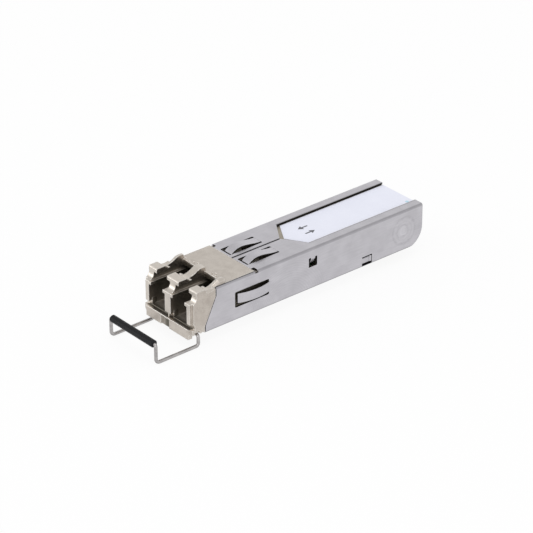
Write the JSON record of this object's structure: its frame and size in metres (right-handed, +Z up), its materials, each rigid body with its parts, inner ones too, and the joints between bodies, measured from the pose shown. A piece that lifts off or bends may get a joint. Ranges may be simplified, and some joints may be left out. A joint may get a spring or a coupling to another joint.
{
  "type": "pluggable fibre optic transceiver",
  "caption": "Small pluggable fibre transceiver with a folded metal shell, a die-cast nose with duplex plug ports, and a wire bail that works its latch.",
  "frame": {"origin": "rear end of the module, on its centre plane, at the height of the folded shell's underside", "axes": "+X across the module, +Y towards the host connector, +Z up towards the label; the ports face -Y"},
  "size_m": [0.0144, 0.0648, 0.0118],
  "materials": {
    "shell_steel": "satin folded stainless sheet with fine tumbled scratches",
    "nose_casting": "nickel-plated zinc casting, warm satin",
    "frame_casting": "nickel-plated zinc casting, warm satin",
    "bail_steel": "bright drawn spring wire",
    "sleeve_rubber": "satin black tube",
    "latch_steel": "satin steel",
    "pin_steel": "ground steel",
    "spring_steel": "blued spring strip",
    "label_film": "pale satin film",
    "moulded_tray": "black glass-filled moulding",
    "board_laminate": "green solder mask over laminate",
    "contact_gold": "hard gold plate",
    "barrel_steel": "turned stainless steel",
    "split_sleeve_ceramic": "polished white ceramic",
    "can_metal": "gold-plated can and header",
    "flex_film": "amber polyimide with copper tracks",
    "clamp_steel": "stamped steel",
    "chip_epoxy": "black moulded epoxy",
    "component_ceramic": "brown ceramic with tinned ends"
  },
  "bodies": {
    "module": {"barrel_clamp": "clamp_steel", "board_support": "moulded_tray", "circuit_board": "board_laminate", "controller": "chip_epoxy", "edge_contacts_bottom": "contact_gold", "edge_contacts_top": "contact_gold", "label": "label_film", "laser_driver": "chip_epoxy", "latch_pin": "pin_steel", "latch_spring": "spring_steel", "memory_chip": "chip_epoxy", "nose_housing": "nose_casting", "rear_frame": "frame_casting", "receiver_amplifier": "chip_epoxy", "receiver_barrel": "barrel_steel", "receiver_can": "can_metal", "receiver_flex": "flex_film", "receiver_sleeve": "split_sleeve_ceramic", "shell": "shell_steel", "small_components": "component_ceramic", "transmitter_barrel": "barrel_steel", "transmitter_can": "can_metal", "transmitter_flex": "flex_film", "transmitter_sleeve": "split_sleeve_ceramic"},
    "bail": {"bail_wire": "bail_steel", "bail_sleeve": "sleeve_rubber"},
    "latch": {"latch_lever": "latch_steel"}
  },
  "joints": [
    {"name": "bail_swing", "type": "hinge", "parent": "module", "child": "bail", "pos_m": [0, -0.05445, 0.00015], "axis": [-1, 0, 0], "range_deg": [0, 90]},
    {"name": "latch_rock", "type": "hinge", "parent": "module", "child": "latch", "pos_m": [0, -0.0505, 0.00078], "axis": [-1, 0, 0], "range_deg": [0, 4.37], "stiffness_Nm_per_rad": 0.0001, "springref_deg": -5.73, "deforming": ["latch_spring"]}
  ],
  "couplings": [
    {"joint": "latch_rock", "follows": "bail_swing", "ratio": 0.048351}
  ]
}
